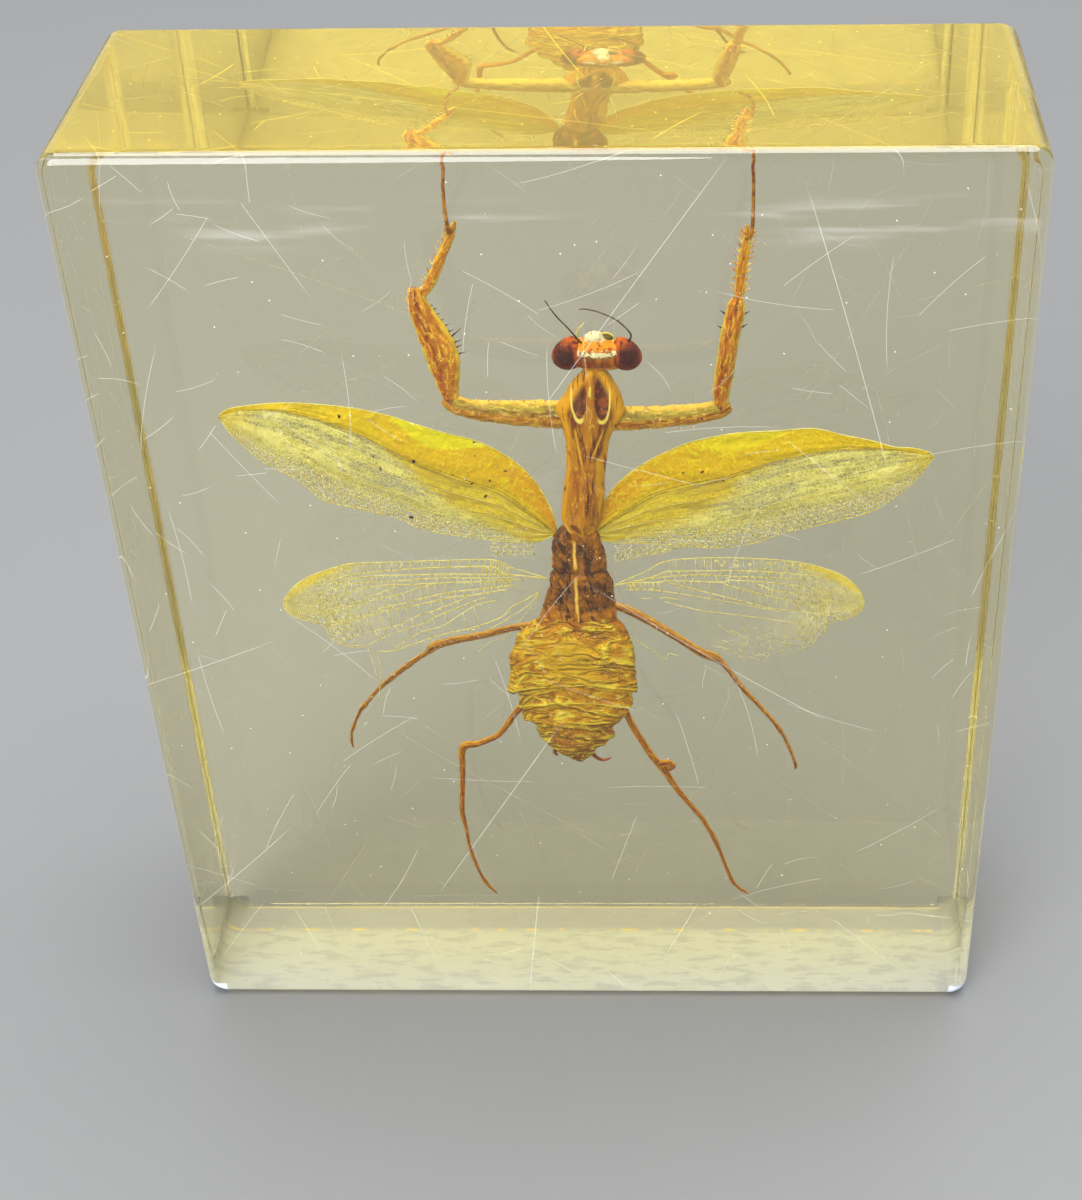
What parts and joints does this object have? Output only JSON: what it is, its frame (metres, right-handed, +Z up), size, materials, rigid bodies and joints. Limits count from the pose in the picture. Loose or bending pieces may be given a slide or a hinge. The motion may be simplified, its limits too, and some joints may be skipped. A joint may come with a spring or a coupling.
{
  "type": "insect resin paperweight",
  "caption": "Upright clear resin block with rounded edges, a spread-winged mantis cast inside, standing on its narrow base as a desk paperweight.",
  "frame": {"origin": "middle of the narrow base that the block stands on", "axes": "+X across the block's width, -Y out of the front face that shows the specimen's back, +Z up"},
  "size_m": [0.1, 0.032, 0.12],
  "materials": {
    "clear_resin": "polished cast resin, slightly yellowed, with fine scratches",
    "dry_insect": "dry amber chitin, half gloss, with papery yellow wings"
  },
  "bodies": {
    "root": {"mantis": "dry_insect", "resin_front": "clear_resin", "resin_back": "clear_resin"}
  },
  "joints": []
}
